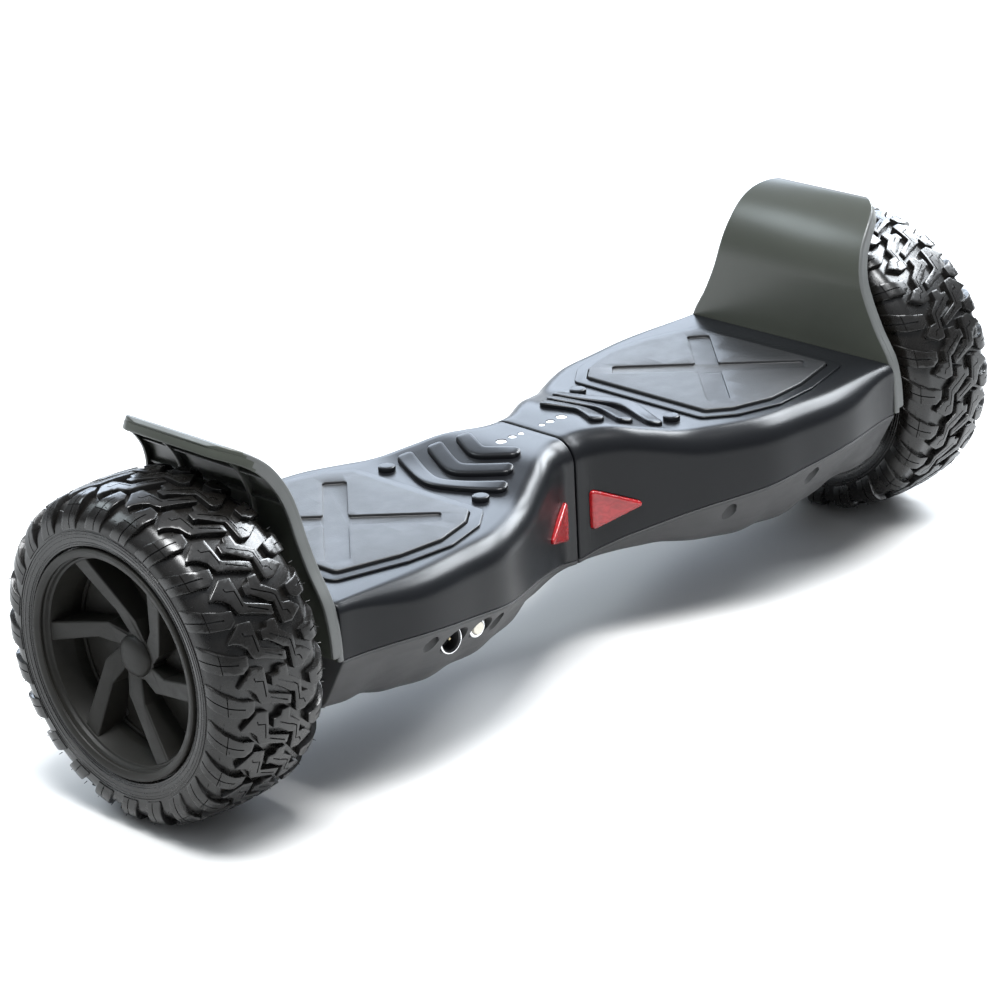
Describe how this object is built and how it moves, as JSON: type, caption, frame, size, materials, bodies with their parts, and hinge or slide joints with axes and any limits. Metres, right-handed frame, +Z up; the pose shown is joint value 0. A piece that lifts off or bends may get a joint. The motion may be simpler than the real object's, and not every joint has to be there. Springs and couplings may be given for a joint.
{
  "type": "self balancing hoverboard",
  "caption": "Two-wheeled self balancing board: two foot platforms that twist on a central pivot between fat off-road tyres on hub motors, with curled fenders.",
  "frame": {"origin": "centre of the bounding box on the ground, under the pivot", "axes": "+X along the axles to the right-hand wheel as seen from the rear, +Y to the front, +Z up"},
  "size_m": [0.734, 0.216, 0.2411],
  "materials": {
    "shell_black": "satin moulded, fine grain",
    "shell_grey": "matte moulded",
    "cast_frame": "raw casting",
    "fender_paint": "satin gunmetal paint",
    "lamp_red": "translucent red, ribbed inside",
    "lamp_clear": "translucent clear",
    "light_white": "diffusing white",
    "circuit_board": "solder mask",
    "steel": "ground",
    "screw_steel": "blackened",
    "copper": "enamelled copper wire",
    "tyre_rubber": "new rubber, slight sheen",
    "rim_paint": "matte black",
    "magnet": "nickel plated",
    "mat_rubber": "fine grain",
    "bush_bronze": "sintered bronze",
    "battery_wrap": "shrink film",
    "socket_metal": "plated",
    "socket_plastic": "moulded",
    "contact_brass": "plated pins",
    "button_metal": "pearl cream paint"
  },
  "bodies": {
    "left_half": {"left_top_shell": "shell_black", "left_bottom_shell": "shell_grey", "left_frame": "cast_frame", "left_fender": "fender_paint", "left_tail_lamp": "lamp_red", "left_head_lamp": "lamp_clear", "left_status_lights": "light_white", "left_gyro_board": "circuit_board", "left_axle": "steel", "left_axle_clamp": "cast_frame", "left_screws": "screw_steel", "left_stator": "steel", "left_windings": "copper", "left_bearing_inner_rings": "steel", "pivot_tube": "steel", "twist_stop_pin": "steel", "battery_pack": "battery_wrap", "charge_socket": "socket_metal", "charge_insert": "socket_plastic", "charge_contacts": "contact_brass", "power_switch": "socket_metal"},
    "right_half": {"right_top_shell": "shell_black", "right_bottom_shell": "shell_grey", "right_frame": "cast_frame", "right_fender": "fender_paint", "right_tail_lamp": "lamp_red", "right_head_lamp": "lamp_clear", "right_status_lights": "light_white", "right_gyro_board": "circuit_board", "right_axle": "steel", "right_axle_clamp": "cast_frame", "right_screws": "screw_steel", "right_stator": "steel", "right_windings": "copper", "right_bearing_inner_rings": "steel", "pivot_bushes": "bush_bronze", "main_board": "circuit_board"},
    "left_wheel": {"left_tyre": "tyre_rubber", "left_rim": "rim_paint", "left_magnets": "magnet", "left_inner_cover": "rim_paint", "left_outer_cover": "rim_paint", "left_spoke_cover": "rim_paint", "left_centre_cap": "rim_paint", "left_cover_screws": "screw_steel", "left_bearing_outer_rings": "steel"},
    "right_wheel": {"right_tyre": "tyre_rubber", "right_rim": "rim_paint", "right_magnets": "magnet", "right_inner_cover": "rim_paint", "right_outer_cover": "rim_paint", "right_spoke_cover": "rim_paint", "right_centre_cap": "rim_paint", "right_cover_screws": "screw_steel", "right_bearing_outer_rings": "steel"},
    "left_balls": {"left_bearing_balls": "steel"},
    "right_balls": {"right_bearing_balls": "steel"},
    "left_mat": {"left_foot_mat": "mat_rubber"},
    "right_mat": {"right_foot_mat": "mat_rubber"},
    "button": {"power_button": "button_metal"}
  },
  "joints": [
    {"name": "twist", "type": "hinge", "parent": "left_half", "child": "right_half", "pos_m": [0, 0, 0.108], "axis": [1, 0, 0], "range_deg": [-12, 12]},
    {"name": "left_wheel_spin", "type": "hinge", "parent": "left_half", "child": "left_wheel", "pos_m": [-0.325, 0, 0.108], "axis": [1, 0, 0], "continuous": true},
    {"name": "right_wheel_spin", "type": "hinge", "parent": "right_half", "child": "right_wheel", "pos_m": [0.325, 0, 0.108], "axis": [1, 0, 0], "continuous": true},
    {"name": "left_balls_orbit", "type": "hinge", "parent": "left_half", "child": "left_balls", "pos_m": [-0.325, 0, 0.108], "axis": [1, 0, 0], "continuous": true},
    {"name": "right_balls_orbit", "type": "hinge", "parent": "right_half", "child": "right_balls", "pos_m": [0.325, 0, 0.108], "axis": [1, 0, 0], "continuous": true},
    {"name": "left_mat_press", "type": "slide", "parent": "left_half", "child": "left_mat", "axis": [0, 0, -1], "range_m": [0, 0.0015], "stiffness_N_per_m": 8000},
    {"name": "right_mat_press", "type": "slide", "parent": "right_half", "child": "right_mat", "axis": [0, 0, -1], "range_m": [0, 0.0015], "stiffness_N_per_m": 8000},
    {"name": "power_button_press", "type": "slide", "parent": "left_half", "child": "button", "axis": [0, 1, 0], "range_m": [0, 0.0013], "stiffness_N_per_m": 500}
  ],
  "couplings": [
    {"joint": "left_balls_orbit", "follows": "left_wheel_spin", "ratio": 0.61064},
    {"joint": "right_balls_orbit", "follows": "right_wheel_spin", "ratio": 0.61064}
  ]
}
